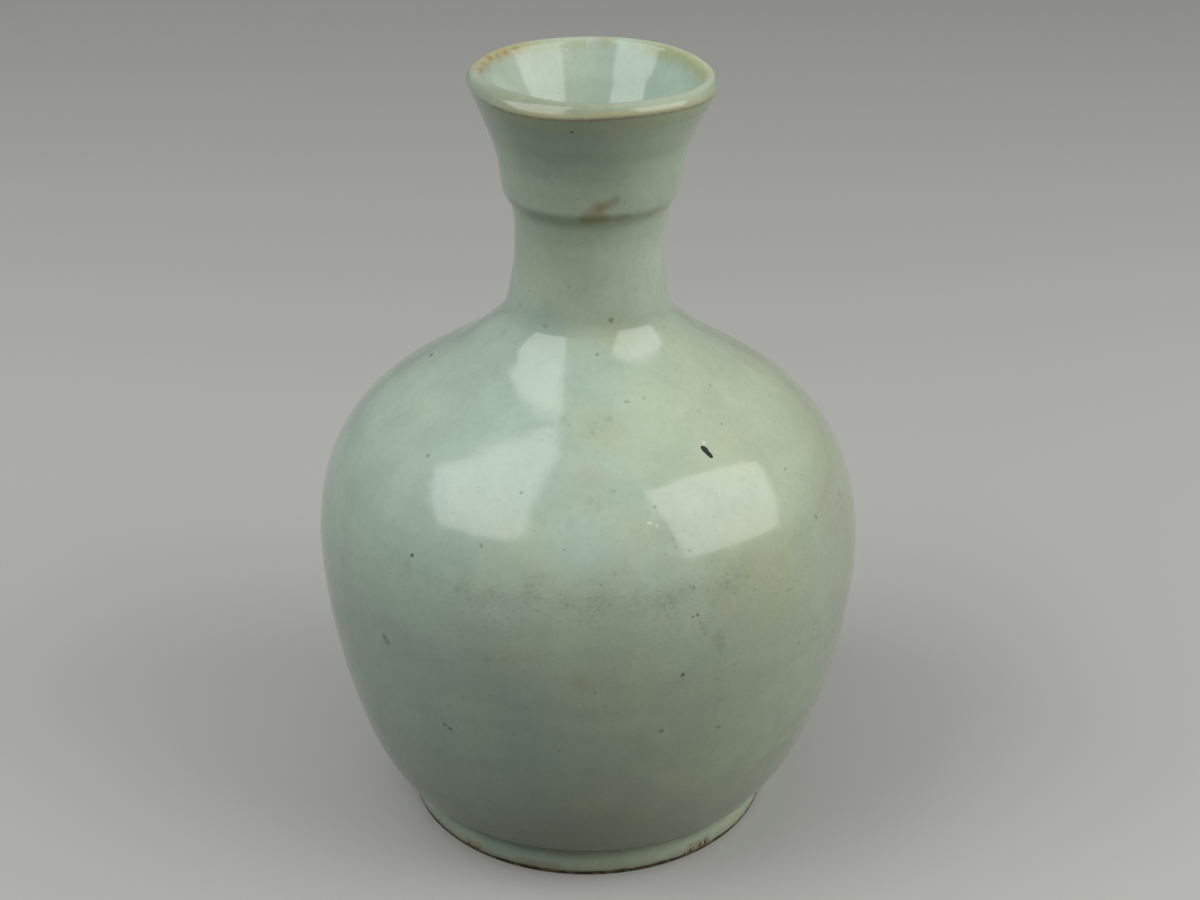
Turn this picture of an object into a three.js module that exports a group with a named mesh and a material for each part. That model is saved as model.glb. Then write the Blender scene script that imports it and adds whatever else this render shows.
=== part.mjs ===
import * as THREE from 'three';

// Porcelain bottle: its thrown sections, the slip between them and the grains fused to its glaze.
// Sizes are in millimetres and angles in degrees. The origin is the centre of the foot where it
// stands, and +Z is up. An outline is drawn as radius and height, and its directions are turned
// from straight out towards straight up. A fullness says how far a curve keeps to its direction
// at one end, as a share of that curve's own span.

const roundSteps = 48;

// Foot ring, from the ground to the crease under the belly
const footHeight = 8.5;
const footRadius = 47.8;
const footFlare = 2.5;
const footAngle = 60;
const footFullness = 0.3;
const footTopAngle = 80;
const footTopFullness = 0.35;
const rimWidth = 6.4;
const rimBevel = 0.9;
const recessTaper = 1.2;

// Belly: the heel lies beyond and above the crease, and the widest part above that
const heelStep = 2.2;
const heelRise = 1.9;
const heelAngle = 56.4;
const heelFullness = 0.42;
const bellyRadius = 70.1;
const bellyRise = 68;
const underBellyFullness = 0.1;
const overBellyFullness = 0.545;

// Shoulder: its slope turns hollow at a point beyond and below the root of the neck
const shoulderRise = 62.8;
const slopeReach = 8.3;
const slopeDrop = 8.3;
const slopeAngle = 138.5;
const slopeFullness = 0.27;
const hollowFullness = 0.5;
const hollowTopAngle = 126;
const hollowTopFullness = 0.35;

// Neck, from its root on the shoulder to the ledge under the mouth
const neckLength = 30.7;
const neckRadius = 18.65;
const rootSpread = 2.65;
const rootAngle = 118;
const rootFullness = 0.19;
const waistRise = 17.7;
const waistFullness = 0.36;
const topSpread = 0.5;
const neckTopAngle = 86;
const neckTopFullness = 0.33;

// Mouth collar and lip
const collarLength = 30;
const collarOverhang = 2.2;
const collarEdgeRound = 0.9;
const collarAngle = 79.5;
const collarFullness = 0.66;
const flareAngle = 69;
const flareFullness = 0.4;
const lipRadius = 30.2;
const lipOverhang = 0.8;
const lipDepth = 4.6;
const lipDrop = 2.4;
const lipRound = 2.2;
const lipWidth = 4.2;
const mouthEdgeDrop = 0.5;
const mouthAngle = 62;
const funnelFullness = 0.31;

// Walls, measured square to the outside
const floorThickness = 7;
const heelWall = 9;
const bellyWall = 5.5;
const shoulderWall = 5;
const neckWall = 5;

// Joins between the sections; the lower one lies this far above the widest part
const bellySeamRise = 16.5;
const seamThickness = 0.6;
const seamBead = 0.8;
const beadSteps = 4;

// From this far below its root the neck leans to +X, by this much at the top
const leanDrop = 19.3;
const neckLean = 1.5;

// Grains fused to the surface, each with its azimuth from the front towards +X
const seatGap = 0.2;
const gritLift = 0.5;
const gritGrains = [
  { azimuth: -39.5, length: 1.5, width: 1.1, turn: 20 },
  { azimuth: -36, length: 1.1, width: 0.9, turn: -35 },
  { azimuth: -17, length: 1.7, width: 1.1, turn: 8 },
  { azimuth: -11.5, length: 1.2, width: 1, turn: 60 },
  { azimuth: 33.4, length: 1.5, width: 1.2, turn: -15 },
  { azimuth: 37.2, length: 1.2, width: 0.9, turn: 75 },
  { azimuth: 39.6, length: 1.3, width: 1.1, turn: 90 },
];
const fleckDrop = 21.3;
const fleckGrain = { azimuth: 36, length: 3.1, width: 1.1, turn: -58 };
const grainFlatness = 0.8;
const grainRoughness = 0.08;

// Finishes
const glaze = { color: 0xb4beac, roughness: 0.16, metalness: 0 };
const footGlaze = { color: 0xa9b3a0, roughness: 0.28, metalness: 0 };
const slip = { color: 0xa3a890, roughness: 0.4, metalness: 0 };
const grit = { color: 0x5f4a2c, roughness: 0.85, metalness: 0 };
const iron = { color: 0x14130f, roughness: 0.45, metalness: 0.2 };

// Heights and radii that follow from the sizes above
const bellyHeight = footHeight + bellyRise;
const bellySeamHeight = bellyHeight + bellySeamRise;
const neckRootHeight = bellyHeight + shoulderRise;
const ledgeHeight = neckRootHeight + neckLength;
const overallHeight = ledgeHeight + collarLength;
const footTopRadius = footRadius + footFlare;
const neckTopRadius = neckRadius + topSpread;
const collarRadius = neckTopRadius + collarOverhang;

function at(radius, height) {
  return new THREE.Vector2(radius, height);
}

function heading(degrees, length) {
  const angle = THREE.MathUtils.degToRad(degrees);
  return at(length * Math.cos(angle), length * Math.sin(angle));
}

// A smooth curve that leaves start and reaches end in the given directions
function sweep(start, startAngle, startFullness, end, endAngle, endFullness) {
  const span = start.distanceTo(end);
  const startHandle = start.clone().add(heading(startAngle, startFullness * span));
  const endHandle = end.clone().sub(heading(endAngle, endFullness * span));
  return new THREE.CubicBezierCurve(start, startHandle, endHandle, end);
}

// The body's outside in stretches that follow each other upwards, each with the wall at its ends
function bodyStretches() {
  const heel = at(footTopRadius + heelStep, footHeight + heelRise);
  const belly = at(bellyRadius, bellyHeight);
  const root = at(neckRadius + rootSpread, neckRootHeight);
  const slope = at(root.x + slopeReach, neckRootHeight - slopeDrop);
  const waist = at(neckRadius, neckRootHeight + waistRise);
  const neckTop = at(neckTopRadius, ledgeHeight);
  const underBelly = sweep(heel, heelAngle, heelFullness, belly, 90, underBellyFullness);
  const shoulder = sweep(belly, 90, overBellyFullness, slope, slopeAngle, slopeFullness);
  const hollow = sweep(slope, slopeAngle, hollowFullness, root, hollowTopAngle, hollowTopFullness);
  const neckRoot = sweep(root, rootAngle, rootFullness, waist, 90, waistFullness);
  const neckRise = sweep(waist, 90, neckTopFullness, neckTop, neckTopAngle, neckTopFullness);
  return [
    { curve: underBelly, steps: 12, innerSteps: 7, walls: [heelWall, bellyWall] },
    { curve: shoulder, steps: 14, innerSteps: 8, walls: [bellyWall, shoulderWall] },
    { curve: hollow, steps: 4, innerSteps: 3, walls: [shoulderWall, shoulderWall] },
    { curve: neckRoot, steps: 6, innerSteps: 4, walls: [shoulderWall, neckWall] },
    { curve: neckRise, steps: 3, innerSteps: 2, walls: [neckWall, neckWall] },
  ];
}

// A point on the curve, or the wall's thickness inside it
function wallPoint(curve, t, wall) {
  const along = curve.getTangent(t);
  return curve.getPoint(t).addScaledVector(at(-along.y, along.x), wall);
}

function joinStretches(stepsOf, wallOf) {
  const outline = [];
  for (const stretch of bodyStretches()) {
    const steps = stepsOf(stretch);
    for (let step = outline.length === 0 ? 0 : 1; step <= steps; step += 1) {
      const t = step / steps;
      outline.push(wallPoint(stretch.curve, t, wallOf(stretch, t)));
    }
  }
  return outline;
}

const outside = joinStretches(
  (stretch) => stretch.steps,
  () => 0,
);
const inside = joinStretches(
  (stretch) => stretch.innerSteps,
  (stretch, t) => THREE.MathUtils.lerp(stretch.walls[0], stretch.walls[1], t),
);
const footOutside = sweep(
  at(footRadius, 0),
  footAngle,
  footFullness,
  at(footTopRadius, footHeight),
  footTopAngle,
  footTopFullness,
).getPoints(5);

function radiusAt(outline, height) {
  const last = outline.length - 1;
  const above = outline.findIndex((point) => point.y >= height);
  const upper = above < 0 ? last : Math.max(above, 1);
  const low = outline[upper - 1];
  const high = outline[upper];
  return low.x + ((high.x - low.x) * (height - low.y)) / (high.y - low.y);
}

// The part of an outline between two heights, with a point at each
function stretchBetween(outline, low, high) {
  const sliver = 0.05;
  const between = outline.filter((point) => point.y > low + sliver && point.y < high - sliver);
  return [at(radiusAt(outline, low), low), ...between, at(radiusAt(outline, high), high)];
}

function leanAt(height) {
  const leanStart = neckRootHeight - leanDrop;
  return (neckLean * Math.max(0, height - leanStart)) / (overallHeight - leanStart);
}

function makeMesh(name, geometry, finish) {
  const mesh = new THREE.Mesh(geometry, new THREE.MeshStandardMaterial(finish));
  mesh.name = name;
  return mesh;
}

// Turns a profile round the bottle's axis and lets it lean with the neck
function thrown(name, profile, finish) {
  const geometry = new THREE.LatheGeometry(profile, roundSteps);
  geometry.rotateX(Math.PI / 2);
  const place = geometry.getAttribute('position');
  for (let i = 0; i < place.count; i += 1) {
    place.setX(i, place.getX(i) + leanAt(place.getZ(i)));
  }
  return makeMesh(name, geometry, finish);
}

// A closed profile from an outer and an inner outline, both listed upwards
function wallProfile(outer, inner) {
  return [...outer, ...inner.slice().reverse(), outer[0].clone()];
}

function footRing() {
  const rimInner = footRadius - rimWidth;
  const inner = [
    at(rimInner + rimBevel, 0),
    at(rimInner, rimBevel),
    at(rimInner - recessTaper, footHeight),
  ];
  return thrown('foot_ring', wallProfile(footOutside, inner), footGlaze);
}

function lowerBowl() {
  const floorHeight = footHeight + floorThickness;
  const crease = at(footTopRadius, footHeight);
  const outer = stretchBetween(outside, footHeight + heelRise, bellySeamHeight);
  const inner = stretchBetween(inside, floorHeight, bellySeamHeight);
  const wall = [crease, ...outer, ...inner.reverse()];
  return thrown('lower_bowl', [at(0, footHeight), ...wall, at(0, floorHeight)], glaze);
}

function bodyRing(name, low, high) {
  const outer = stretchBetween(outside, low, high);
  const inner = stretchBetween(inside, low, high);
  return thrown(name, wallProfile(outer, inner), glaze);
}

// Luting slip: flush outside, with the bead that was squeezed out inside
function slipSeam(name, low) {
  const high = low + seamThickness;
  const bead = [];
  for (let step = 0; step <= beadSteps; step += 1) {
    const t = step / beadSteps;
    const height = THREE.MathUtils.lerp(low, high, t);
    bead.push(at(radiusAt(inside, height) - seamBead * Math.sin(Math.PI * t), height));
  }
  const outer = [at(radiusAt(outside, low), low), at(radiusAt(outside, high), high)];
  return thrown(name, wallProfile(outer, bead), slip);
}

// The rounded lower edge of the collar, from the ledge out to its side
function collarEdge() {
  const corner = at(collarRadius, ledgeHeight);
  const under = at(collarRadius - collarEdgeRound, ledgeHeight);
  const side = at(collarRadius, ledgeHeight + collarEdgeRound);
  return new THREE.QuadraticBezierCurve(under, corner, side).getPoints(3);
}

// The thick lip, from the top of the flare over the crown to the edge of the mouth
function lipOutline() {
  const outer = at(lipRadius, overallHeight - lipDrop);
  const outerCorner = at(lipRadius, overallHeight);
  const crown = at(lipRadius - lipRound, overallHeight);
  const innerCorner = at(lipRadius - lipWidth, overallHeight);
  const mouthEdge = at(lipRadius - lipWidth, overallHeight - mouthEdgeDrop);
  const outerRound = new THREE.QuadraticBezierCurve(outer, outerCorner, crown).getPoints(5);
  const innerRound = new THREE.QuadraticBezierCurve(crown, innerCorner, mouthEdge).getPoints(3);
  return [...outerRound, ...innerRound.slice(1)];
}

function mouthCollar() {
  const edge = collarEdge();
  const lip = lipOutline();
  const flareEnd = at(lipRadius - lipOverhang, overallHeight - lipDepth);
  const flareStart = edge[edge.length - 1];
  const flare = sweep(flareStart, collarAngle, collarFullness, flareEnd, flareAngle, flareFullness);
  const boreTop = at(radiusAt(inside, ledgeHeight), ledgeHeight);
  const mouthEdge = lip[lip.length - 1];
  const funnel = sweep(boreTop, 90, funnelFullness, mouthEdge, mouthAngle, funnelFullness);
  const outer = [...edge, ...flare.getPoints(8).slice(1), ...lip];
  return thrown('mouth_collar', wallProfile(outer, funnel.getPoints(7).slice(0, -1)), glaze);
}

// An uneven pebble, a little flatter than it is wide
function pebble(length, width) {
  const shape = new THREE.IcosahedronGeometry(0.5, 1);
  const place = shape.getAttribute('position');
  const point = new THREE.Vector3();
  for (let i = 0; i < place.count; i += 1) {
    point.fromBufferAttribute(place, i);
    const bump = Math.sin(9 * point.x + 4 * point.y) * Math.cos(7 * point.z - 3 * point.y);
    point.multiplyScalar(1 + grainRoughness * (bump - 1));
    place.setXYZ(i, point.x, point.y, point.z);
  }
  shape.scale(length, width, width * grainFlatness);
  return shape;
}

// Lays a grain against the outside at a height, with its length turned from level
function stuckGrain(name, outline, height, grain, finish) {
  const step = 0.5;
  const radius = radiusAt(outline, height);
  const rise = at(radiusAt(outline, height + step) - radius, step).normalize();
  const azimuth = THREE.MathUtils.degToRad(grain.azimuth);
  const outwards = new THREE.Vector3(Math.sin(azimuth), -Math.cos(azimuth), 0);
  const level = new THREE.Vector3(Math.cos(azimuth), Math.sin(azimuth), 0);
  const uphill = outwards.clone().multiplyScalar(rise.x).setZ(rise.y);
  const normal = level.clone().cross(uphill);
  const basis = new THREE.Matrix4().makeBasis(level, uphill, normal);
  const turn = new THREE.Matrix4().makeRotationZ(THREE.MathUtils.degToRad(grain.turn));
  const mesh = makeMesh(name, pebble(grain.length, grain.width), finish);
  mesh.setRotationFromMatrix(basis.multiply(turn));
  mesh.position.copy(outwards).multiplyScalar(radius).setZ(height);
  mesh.position.x += leanAt(height);
  mesh.position.addScaledVector(normal, (grain.width * grainFlatness) / 2 + seatGap);
  return mesh;
}

function kilnGrit() {
  return gritGrains.map((grain, index) => {
    const height = grain.length / 2 + gritLift;
    return stuckGrain(`kiln_grit_${index + 1}`, footOutside, height, grain, grit);
  });
}

const bottle = new THREE.Group();
bottle.add(footRing());
bottle.add(lowerBowl());
bottle.add(slipSeam('belly_seam', bellySeamHeight));
bottle.add(bodyRing('upper_bowl', bellySeamHeight + seamThickness, neckRootHeight));
bottle.add(slipSeam('shoulder_seam', neckRootHeight));
bottle.add(bodyRing('neck', neckRootHeight + seamThickness, ledgeHeight - seamThickness));
bottle.add(slipSeam('collar_seam', ledgeHeight - seamThickness));
bottle.add(mouthCollar());
bottle.add(stuckGrain('iron_fleck', outside, neckRootHeight - fleckDrop, fleckGrain, iron));
bottle.add(...kilnGrit());

export default bottle;
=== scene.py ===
import bpy
import bmesh
import math
import numpy as np
from mathutils import Matrix, Vector


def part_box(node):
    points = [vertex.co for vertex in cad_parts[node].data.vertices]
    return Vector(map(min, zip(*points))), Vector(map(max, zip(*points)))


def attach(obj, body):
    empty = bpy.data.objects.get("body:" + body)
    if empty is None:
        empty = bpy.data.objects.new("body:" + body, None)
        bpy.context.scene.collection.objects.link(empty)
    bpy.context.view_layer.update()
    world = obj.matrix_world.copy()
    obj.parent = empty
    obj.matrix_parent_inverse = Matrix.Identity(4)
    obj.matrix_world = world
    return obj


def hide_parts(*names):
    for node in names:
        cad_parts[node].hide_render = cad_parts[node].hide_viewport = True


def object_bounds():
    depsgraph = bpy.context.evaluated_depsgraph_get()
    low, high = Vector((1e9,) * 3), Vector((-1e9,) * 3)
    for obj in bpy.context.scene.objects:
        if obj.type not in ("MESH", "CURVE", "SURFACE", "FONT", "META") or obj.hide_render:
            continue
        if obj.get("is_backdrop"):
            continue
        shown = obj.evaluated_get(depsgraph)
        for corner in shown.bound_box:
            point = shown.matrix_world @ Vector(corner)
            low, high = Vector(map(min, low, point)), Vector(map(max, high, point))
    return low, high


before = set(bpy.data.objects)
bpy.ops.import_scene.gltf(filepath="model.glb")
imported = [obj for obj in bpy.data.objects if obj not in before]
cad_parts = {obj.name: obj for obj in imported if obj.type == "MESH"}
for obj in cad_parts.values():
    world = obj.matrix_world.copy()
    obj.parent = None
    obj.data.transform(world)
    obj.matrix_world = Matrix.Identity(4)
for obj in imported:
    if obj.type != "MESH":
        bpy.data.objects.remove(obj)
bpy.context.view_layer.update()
print("frame loaded")

# A thrown porcelain bottle under a grey-green glaze. Outline sizes are in millimetres and turned
# into metres where meshes are made. The front of the bottle looks along -Y.
mm = 0.001


def heights(node):
    low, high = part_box(node)
    return low[2] / mm, high[2] / mm


footTop = heights("foot_ring")[1]
ledge, top = heights("mouth_collar")
joins = {name: heights(name + "_seam") for name in ("belly", "shoulder", "collar")}
neckRoot = joins["shoulder"][0]


# a number, vector or geometry on its way through a node tree, open to plain arithmetic
class Flow:
    def __init__(self, socket):
        self.socket = socket
        self.tree = socket.id_data

    def __add__(self, other):
        return calc("ADD", self, other)

    def __radd__(self, other):
        return calc("ADD", other, self)

    def __sub__(self, other):
        return calc("SUBTRACT", self, other)

    def __rsub__(self, other):
        return calc("SUBTRACT", other, self)

    def __mul__(self, other):
        return calc("MULTIPLY", self, other)

    def __truediv__(self, other):
        return calc("DIVIDE", self, other)


def addNode(tree, kind, inputs=None, **settings):
    node = tree.nodes.new(kind)
    for name, value in settings.items():
        setattr(node, name, value)
    for key, value in (inputs or {}).items():
        if isinstance(value, Flow):
            tree.links.new(value.socket, node.inputs[key])
        else:
            node.inputs[key].default_value = value
    return node


def flow(tree, kind, inputs=None, output=0, **settings):
    return Flow(addNode(tree, kind, inputs, **settings).outputs[output])


def treeOf(values):
    return next(value.tree for value in values if isinstance(value, Flow))


def calc(operation, *values, clamp=False):
    inputs = dict(enumerate(values))
    return flow(treeOf(values), "ShaderNodeMath", inputs, operation=operation, use_clamp=clamp)


def vector(operation, *values, output=0, **named):
    inputs = {**dict(enumerate(values)), **named}
    return flow(treeOf(inputs.values()), "ShaderNodeVectorMath", inputs, output, operation=operation)


def separate(value):
    return [Flow(socket) for socket in addNode(value.tree, "ShaderNodeSeparateXYZ", {0: value}).outputs]


def combine(tree, x, y, z):
    return flow(tree, "ShaderNodeCombineXYZ", {0: x, 1: y, 2: z})


def ramp(value, low, high, outLow=0.0, outHigh=1.0):
    inputs = {"Value": value, "From Min": low, "From Max": high, "To Min": outLow, "To Max": outHigh}
    return flow(value.tree, "ShaderNodeMapRange", inputs, interpolation_type="SMOOTHSTEP")


def band(value, low, high, soft):
    return ramp(value, low - soft, low + soft) * ramp(value, high - soft, high + soft, 1.0, 0.0)


def mixColor(factor, first, second):
    first, second = (color if isinstance(color, Flow) else (*color, 1.0) for color in (first, second))
    return flow(factor.tree, "ShaderNodeMix", {0: factor, 6: first, 7: second}, 2, data_type="RGBA")


def noise(place, scale, detail=2.0, roughness=0.5):
    inputs = {"Vector": place, "Scale": scale, "Detail": detail, "Roughness": roughness}
    return flow(place.tree, "ShaderNodeTexNoise", inputs)


# a shove in any direction that changes from place to place
def wobbleAt(place, scale):
    shove = flow(place.tree, "ShaderNodeTexNoise", {"Vector": place, "Scale": scale, "Detail": 2.0}, 1)
    return vector("SUBTRACT", shove, (0.5, 0.5, 0.5))


def cells(place, scale, feature="F1"):
    inputs = {"Vector": place, "Scale": scale}
    return flow(place.tree, "ShaderNodeTexVoronoi", inputs, "Distance", feature=feature)


def growingTree(name, start, numbers):
    tree = bpy.data.node_groups.new(name, "GeometryNodeTree")
    sockets = {start: "Geometry", **numbers, "Finish": "Material"}
    for key, kind in sockets.items():
        tree.interface.new_socket(key, in_out="INPUT", socket_type="NodeSocket" + kind)
    tree.interface.new_socket("Piece", in_out="OUTPUT", socket_type="NodeSocketGeometry")
    return tree, {socket.name: Flow(socket) for socket in addNode(tree, "NodeGroupInput").outputs}


def stored(tree, name, kind="FLOAT"):
    return flow(tree, "GeometryNodeInputNamedAttribute", {"Name": name}, data_type=kind)


# the outline of the whole bottle, as radius and height
foot = {
    "radius": 48.8, "sideHeight": 4.2, "topRadius": 50.3, "topAngle": 43, "fullness": 0.42,
    "rimWidth": 6.9, "rimRound": 1.1, "recessTaper": 1.2, "recessFillet": 2.2, "roofLift": 0.7,
    "glazeEdge": 1.5, "glazeBead": 0.1, "bareSetBack": 0.15, "bareTuck": 0.1,
    # longer from front to back than across, fading out between these heights
    "oval": 0.7, "ovalTo": 17, "ovalFrom": 8,
}
body = {
    "heelStep": 2.2, "heelRise": 1.9, "heelAngle": 56.4, "heelFullness": 0.42,
    "bellyRadius": 70.1, "bellyRise": 68.0, "underBellyFullness": 0.1, "overBellyFullness": 0.545,
    "slopeReach": 8.3, "slopeDrop": 8.3, "slopeAngle": 138.5, "slopeFullness": 0.27,
    "hollowFullness": 0.5, "hollowTopAngle": 126, "hollowTopFullness": 0.35,
    "floor": 7.0, "heelWall": 9.0, "bellyWall": 5.5, "shoulderWall": 5.0,
}
neck = {
    "radius": 18.65, "rootSpread": 2.65, "rootAngle": 118, "rootFullness": 0.19,
    "waistRise": 17.7, "waistFullness": 0.36, "wall": 5.0,
    # height from the ledge and radius of the soft step under the mouth
    "ledgeRise": [-5, -4, -3, -2, -1, 0, 1, 2, 4, 6, 8],
    "ledgeRadius": [18.95, 19.03, 19.28, 19.76, 20.36, 21.1, 21.56, 21.75, 22.12, 22.48, 22.82],
}
lip = {
    # depth under the top and radius, up the flare and round the lip
    "flareDepth": [20, 18, 16, 14, 12, 10, 8, 6, 4.6],
    "flareRadius": [23.22, 23.79, 24.42, 25.25, 26.15, 27.01, 27.95, 28.9, 29.45],
    "radius": 30.341, "drop": 2.783, "round": 2.914, "slope": 0.63, "width": 4.338, "edgeDrop": 0.422,
    "mouthAngle": 62, "funnelFullness": 0.31,
    # how the lip rises and falls round the mouth: times round, phase and height
    "waves": [(0, 1.571, 0.177), (1, -1.236, 0.407), (2, -1.596, 0.11), (3, -1.714, 0.381),
              (4, 0.687, 0.158)],
    # how its crown rises above the corner and how the inner edge strays outward in front, in the same terms
    "lifts": [(1, -2.249, 0.134), (2, 0.671, 0.055), (3, 1.047, 0.325), (4, -2.14, 0.236)],
    "strays": [(0, 1.571, 0.148), (1, 0.997, 0.201), (2, 1.671, 0.36), (3, 2.537, 0.045),
               (4, 1.387, 0.413), (5, -2.281, 0.126)],
}
# slip squeezed out of the joins inside: how far it stands proud, and its reach as a share of the join's half
bead = {"height": 0.8, "reach": 2.4}
glazeCoat = {"spread": 0.38, "rootSpread": 1.7, "footSpread": 0.24, "lipSpread": 0.6}
# how far the axis strays to +X, and how far the outside swells, at each height
drift = {
    "height": [0, 10, 16, 24, 36, 50, 62, 72, 80, 90, 100, 112, 118, 124, 129, 134, 138, 142, 146, 150, 156,
               162, 165, 167, 169, 171, 174, 178, 186, 192, 195, 198, 202],
    "shift": [0.15, 0.2, 0.08, 0.18, 0.5, 0.62, 0.6, 0.6, 0.4, 0.18, 0.0, -0.22, -0.08, 0.0, 0.2, 0.25, 0.28,
              0.3, 0.5, 0.7, 0.9, 1.1, 1.2, 1.25, 1.22, 1.25, 1.3, 1.38, 1.55, 1.7, 1.7, 1.7, 1.7],
    "swell": [0, 0, 0.32, 0.3, 0.05, -0.03, 0, 0.1, 0.05, 0, 0, -0.1, -0.25, -0.25, -0.3, -0.38, -0.38,
              -0.25, 0, 0, 0, 0.1, 0.4, 0.55, 0.45, 0.2, 0.1, 0.1, 0.1, 0.1, 0.1, 0.05, 0],
    "ease": 1.6,
}


def heading(angle, length):
    turn = math.radians(angle)
    return np.array([length * math.cos(turn), length * math.sin(turn)])


# a column of the drift table, eased between its heights
def drifted(column, height):
    levels = np.arange(-10, 220, 0.25)
    weights = np.exp(-0.5 * (np.arange(-6, 6.01, 0.25) / drift["ease"]) ** 2)
    values = np.interp(levels, drift["height"], drift[column])
    return np.interp(height, levels, np.convolve(values, weights / weights.sum(), mode="same"))


def sweep(start, startAngle, startFullness, end, endAngle, endFullness, steps=160):
    start, end = np.array(start, float), np.array(end, float)
    span = np.linalg.norm(end - start)
    first = start + heading(startAngle, startFullness * span)
    second = end - heading(endAngle, endFullness * span)
    t = np.linspace(0, 1, steps + 1)[:, None]
    u = 1 - t
    return u ** 3 * start + 3 * u * u * t * first + 3 * u * t * t * second + t ** 3 * end


def smoothCurve(points, steps=200):
    points = np.array(points, float)
    along = np.concatenate([[0], np.cumsum(np.linalg.norm(np.diff(points, axis=0), axis=1))])
    slopes = np.gradient(points, along, axis=0)
    t = np.linspace(0, along[-1], steps)
    place = np.clip(np.searchsorted(along, t) - 1, 0, len(points) - 2)
    width = (along[place + 1] - along[place])[:, None]
    u = (t[:, None] - along[place][:, None]) / width
    p0, p1 = points[place], points[place + 1]
    m0, m1 = slopes[place] * width, slopes[place + 1] * width
    return ((2 * u ** 3 - 3 * u ** 2 + 1) * p0 + (u ** 3 - 2 * u ** 2 + u) * m0
            + (-2 * u ** 3 + 3 * u ** 2) * p1 + (u ** 3 - u ** 2) * m1)


def roundCorner(before, corner, after, steps=24):
    before, corner, after = (np.array(point, float) for point in (before, corner, after))
    t = np.linspace(0, 1, steps + 1)[:, None]
    return (1 - t) ** 2 * before + 2 * t * (1 - t) * corner + t * t * after


def bodyCurves():
    heel = (foot["topRadius"] + body["heelStep"], footTop + body["heelRise"])
    belly = (body["bellyRadius"], footTop + body["bellyRise"])
    root = (neck["radius"] + neck["rootSpread"], neckRoot)
    slope = (root[0] + body["slopeReach"], neckRoot - body["slopeDrop"])
    waist = (neck["radius"], neckRoot + neck["waistRise"])
    underBelly = sweep(heel, body["heelAngle"], body["heelFullness"], belly, 90, body["underBellyFullness"])
    shoulder = sweep(belly, 90, body["overBellyFullness"], slope, body["slopeAngle"], body["slopeFullness"])
    hollow = sweep(slope, body["slopeAngle"], body["hollowFullness"],
                   root, body["hollowTopAngle"], body["hollowTopFullness"])
    rootCurve = sweep(root, neck["rootAngle"], neck["rootFullness"], waist, 90, neck["waistFullness"])
    return underBelly, shoulder, hollow, rootCurve


def wallInside(curve, wallStart, wallEnd):
    along = np.gradient(curve, axis=0)
    along /= np.linalg.norm(along, axis=1)[:, None]
    wall = np.linspace(wallStart, wallEnd, len(curve))[:, None]
    return curve + np.stack([-along[:, 1], along[:, 0]], axis=1) * wall


def joined(parts):
    line = [np.asarray(parts[0], float)]
    for part in parts[1:]:
        part = np.asarray(part, float)
        line.append(part[1:] if np.allclose(part[0], line[-1][-1], atol=1e-6) else part)
    return np.concatenate(line)


def evenly(line, step):
    along = np.concatenate([[0], np.cumsum(np.linalg.norm(np.diff(line, axis=0), axis=1))])
    count = int(round(along[-1] / step)) + 1
    place = np.linspace(0, along[-1], count)
    return np.stack([np.interp(place, along, line[:, i]) for i in (0, 1)], axis=1)


# rounds every corner as a coat of glaze does, without moving the ends
def softened(line, spread, step):
    reach = int(4 * spread / step)
    weights = np.exp(-0.5 * (np.arange(-reach, reach + 1) * step / spread) ** 2)
    weights /= weights.sum()
    padded = np.concatenate([2 * line[0] - line[reach:0:-1], line, 2 * line[-1] - line[-2:-reach - 2:-1]])
    return np.stack([np.convolve(padded[:, i], weights, mode="valid") for i in (0, 1)], axis=1)


rimInner = foot["radius"] - foot["rimWidth"]
roofEdge = rimInner - foot["recessTaper"] - foot["recessFillet"]
bareRadius = foot["radius"] - foot["bareSetBack"]
lipEdge = (lip["radius"] - lip["width"], top - lip["edgeDrop"])


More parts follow.
